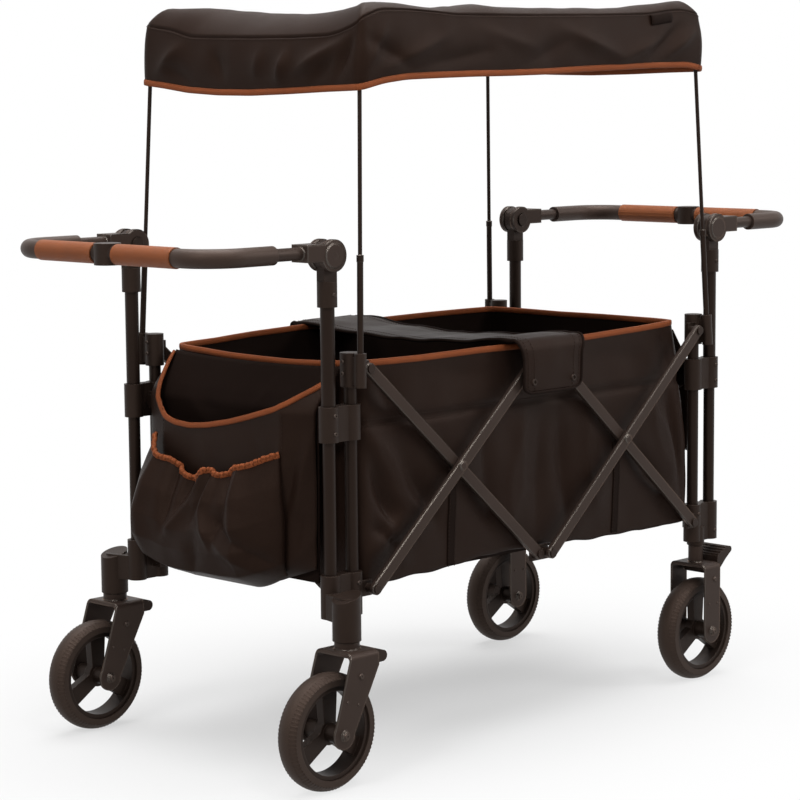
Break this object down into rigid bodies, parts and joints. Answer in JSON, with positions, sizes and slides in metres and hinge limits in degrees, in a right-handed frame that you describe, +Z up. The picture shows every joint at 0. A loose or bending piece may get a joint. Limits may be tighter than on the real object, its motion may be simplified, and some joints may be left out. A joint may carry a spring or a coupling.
{
  "type": "stroller wagon",
  "caption": "Folding stroller wagon: fabric basket on a scissor frame, canopy on poles, push handles at both ends, swivel front wheels and braked rear wheels.",
  "frame": {"origin": "on the ground in the middle of the wagon", "axes": "+Z up, -X towards the front (the swivel wheels), -Y towards the left side, which the picture shows"},
  "size_m": [1.404, 0.624, 1.1482],
  "materials": {
    "frame_paint": "satin dark brown-black powder coat",
    "moulded_plastic": "fine-grained dark moulding",
    "black_cloth": "woven polyester",
    "tan_leather": "stitched tan leather look",
    "wheel_rubber": "matt foam rubber"
  },
  "bodies": {
    "front_frame": {"front_left_foot": "moulded_plastic", "front_right_foot": "moulded_plastic", "front_handle_posts": "frame_paint", "front_collars": "moulded_plastic", "front_cross_brace": "frame_paint", "front_hinge_sockets": "moulded_plastic"},
    "front_handle": {"front_arms": "frame_paint", "front_elbows": "moulded_plastic", "front_grips": "tan_leather", "front_grip_joint": "moulded_plastic"},
    "front_left_release": {"front_left_button": "moulded_plastic"},
    "front_right_release": {"front_right_button": "moulded_plastic"},
    "front_left_caster": {"front_left_fork": "frame_paint"},
    "front_right_caster": {"front_right_fork": "frame_paint"},
    "front_left_wheel": {"front_left_rim": "moulded_plastic", "front_left_tyre": "wheel_rubber"},
    "front_right_wheel": {"front_right_rim": "moulded_plastic", "front_right_tyre": "wheel_rubber"},
    "front_left_lock_lever": {"front_left_lock": "moulded_plastic"},
    "front_right_lock_lever": {"front_right_lock": "moulded_plastic"},
    "front_rising": {"front_rising_bars": "frame_paint"},
    "front_falling": {"front_falling_bars": "frame_paint"},
    "front_upright": {"front_uprights": "frame_paint", "front_top_brackets": "moulded_plastic", "front_poles": "frame_paint", "basket": "black_cloth", "floor_mat": "black_cloth", "front_pocket": "black_cloth", "front_pouch": "black_cloth"},
    "top_mid": {"top_mid_brackets": "moulded_plastic", "centre_cover": "black_cloth"},
    "bottom_mid": {"bottom_mid_brackets": "moulded_plastic"},
    "rear_falling": {"rear_falling_bars": "frame_paint"},
    "rear_rising": {"rear_rising_bars": "frame_paint"},
    "rear_frame": {"rear_left_foot": "moulded_plastic", "rear_right_foot": "moulded_plastic", "rear_handle_posts": "frame_paint", "rear_collars": "moulded_plastic", "rear_cross_brace": "frame_paint", "rear_hinge_sockets": "moulded_plastic", "rear_left_fork": "frame_paint", "rear_right_fork": "frame_paint"},
    "rear_upright": {"rear_uprights": "frame_paint", "rear_top_brackets": "moulded_plastic", "rear_poles": "frame_paint", "rear_pocket": "black_cloth"},
    "rear_handle": {"rear_arms": "frame_paint", "rear_elbows": "moulded_plastic", "rear_grips": "tan_leather", "rear_grip_joint": "moulded_plastic"},
    "rear_left_release": {"rear_left_button": "moulded_plastic"},
    "rear_right_release": {"rear_right_button": "moulded_plastic"},
    "rear_left_wheel": {"rear_left_rim": "moulded_plastic", "rear_left_tyre": "wheel_rubber"},
    "rear_right_wheel": {"rear_right_rim": "moulded_plastic", "rear_right_tyre": "wheel_rubber"},
    "rear_left_brake": {"rear_left_pedal": "moulded_plastic"},
    "rear_right_brake": {"rear_right_pedal": "moulded_plastic"},
    "canopy_top": {"canopy": "black_cloth"}
  },
  "joints": [
    {"name": "fold", "type": "hinge", "parent": "bottom_mid", "child": "front_falling", "pos_m": [-0.01, 0, 0.281], "axis": [0, 1, 0], "range_deg": [0, 41.9], "deforming": ["basket", "floor_mat", "canopy"]},
    {"name": "front_crossing", "type": "hinge", "parent": "front_falling", "child": "front_rising", "pos_m": [-0.199, 0, 0.4465], "axis": [0, -1, 0], "range_deg": [0, 83.9]},
    {"name": "front_top_pivot", "type": "hinge", "parent": "front_falling", "child": "front_upright", "pos_m": [-0.388, 0, 0.612], "axis": [0, -1, 0], "range_deg": [0, 42]},
    {"name": "front_low_pivot", "type": "hinge", "parent": "front_rising", "child": "front_frame", "pos_m": [-0.388, 0, 0.281], "axis": [0, -1, 0], "range_deg": [-42, 0]},
    {"name": "top_mid_pivot", "type": "hinge", "parent": "front_rising", "child": "top_mid", "pos_m": [-0.01, 0, 0.612], "axis": [0, -1, 0], "range_deg": [-42, 0]},
    {"name": "bottom_mid_pivot", "type": "hinge", "parent": "bottom_mid", "child": "rear_rising", "pos_m": [0.01, 0, 0.281], "axis": [0, -1, 0], "range_deg": [0, 42]},
    {"name": "rear_crossing", "type": "hinge", "parent": "rear_rising", "child": "rear_falling", "pos_m": [0.199, 0, 0.4465], "axis": [0, -1, 0], "range_deg": [-83.9, 0]},
    {"name": "rear_top_pivot", "type": "hinge", "parent": "rear_rising", "child": "rear_upright", "pos_m": [0.388, 0, 0.612], "axis": [0, -1, 0], "range_deg": [-42, 0]},
    {"name": "rear_low_pivot", "type": "hinge", "parent": "rear_falling", "child": "rear_frame", "pos_m": [0.388, 0, 0.281], "axis": [0, -1, 0], "range_deg": [0, 42]},
    {"name": "front_handle_tilt", "type": "hinge", "parent": "front_frame", "child": "front_handle", "pos_m": [-0.455, 0, 0.783], "axis": [0, 1, 0], "range_deg": [-35, 90]},
    {"name": "front_left_release_press", "type": "slide", "parent": "front_handle", "child": "front_left_release", "axis": [0, -1, 0], "range_m": [0, 0.003], "stiffness_N_per_m": 400},
    {"name": "front_right_release_press", "type": "slide", "parent": "front_handle", "child": "front_right_release", "axis": [0, 1, 0], "range_m": [0, 0.003], "stiffness_N_per_m": 400},
    {"name": "rear_handle_tilt", "type": "hinge", "parent": "rear_frame", "child": "rear_handle", "pos_m": [0.455, 0, 0.783], "axis": [0, -1, 0], "range_deg": [-35, 90]},
    {"name": "rear_left_release_press", "type": "slide", "parent": "rear_handle", "child": "rear_left_release", "axis": [0, -1, 0], "range_m": [0, 0.003], "stiffness_N_per_m": 400},
    {"name": "rear_right_release_press", "type": "slide", "parent": "rear_handle", "child": "rear_right_release", "axis": [0, 1, 0], "range_m": [0, 0.003], "stiffness_N_per_m": 400},
    {"name": "front_left_swivel", "type": "hinge", "parent": "front_frame", "child": "front_left_caster", "pos_m": [-0.466, -0.27, 0.2], "axis": [0, 0, 1], "continuous": true},
    {"name": "front_left_spin", "type": "hinge", "parent": "front_left_caster", "child": "front_left_wheel", "pos_m": [-0.509, -0.27, 0.0885], "axis": [0, 1, 0], "continuous": true},
    {"name": "front_left_lock_press", "type": "hinge", "parent": "front_left_caster", "child": "front_left_lock_lever", "pos_m": [-0.448, -0.27, 0.191], "axis": [0, 1, 0], "range_deg": [0, 18]},
    {"name": "front_right_swivel", "type": "hinge", "parent": "front_frame", "child": "front_right_caster", "pos_m": [-0.466, 0.27, 0.2], "axis": [0, 0, 1], "continuous": true},
    {"name": "front_right_spin", "type": "hinge", "parent": "front_right_caster", "child": "front_right_wheel", "pos_m": [-0.509, 0.27, 0.0885], "axis": [0, 1, 0], "continuous": true},
    {"name": "front_right_lock_press", "type": "hinge", "parent": "front_right_caster", "child": "front_right_lock_lever", "pos_m": [-0.448, 0.27, 0.191], "axis": [0, 1, 0], "range_deg": [0, 18]},
    {"name": "rear_left_spin", "type": "hinge", "parent": "rear_frame", "child": "rear_left_wheel", "pos_m": [0.42, -0.225, 0.0885], "axis": [0, 1, 0], "continuous": true},
    {"name": "rear_left_brake_press", "type": "hinge", "parent": "rear_frame", "child": "rear_left_brake", "pos_m": [0.432, -0.225, 0.191], "axis": [0, 1, 0], "range_deg": [0, 18]},
    {"name": "rear_right_spin", "type": "hinge", "parent": "rear_frame", "child": "rear_right_wheel", "pos_m": [0.42, 0.225, 0.0885], "axis": [0, 1, 0], "continuous": true},
    {"name": "rear_right_brake_press", "type": "hinge", "parent": "rear_frame", "child": "rear_right_brake", "pos_m": [0.432, 0.225, 0.191], "axis": [0, 1, 0], "range_deg": [0, 18]},
    {"name": "canopy_lift", "type": "slide", "parent": "front_upright", "child": "canopy_top", "axis": [0, 0, 1], "range_m": [0, 0.12]}
  ],
  "couplings": [
    {"joint": "front_crossing", "follows": "fold", "ratio": 2},
    {"joint": "front_top_pivot", "follows": "fold", "ratio": 1},
    {"joint": "front_low_pivot", "follows": "fold", "ratio": -1},
    {"joint": "top_mid_pivot", "follows": "fold", "ratio": -1},
    {"joint": "bottom_mid_pivot", "follows": "fold", "ratio": 1},
    {"joint": "rear_crossing", "follows": "fold", "ratio": -2},
    {"joint": "rear_top_pivot", "follows": "fold", "ratio": -1},
    {"joint": "rear_low_pivot", "follows": "fold", "ratio": 1}
  ]
}
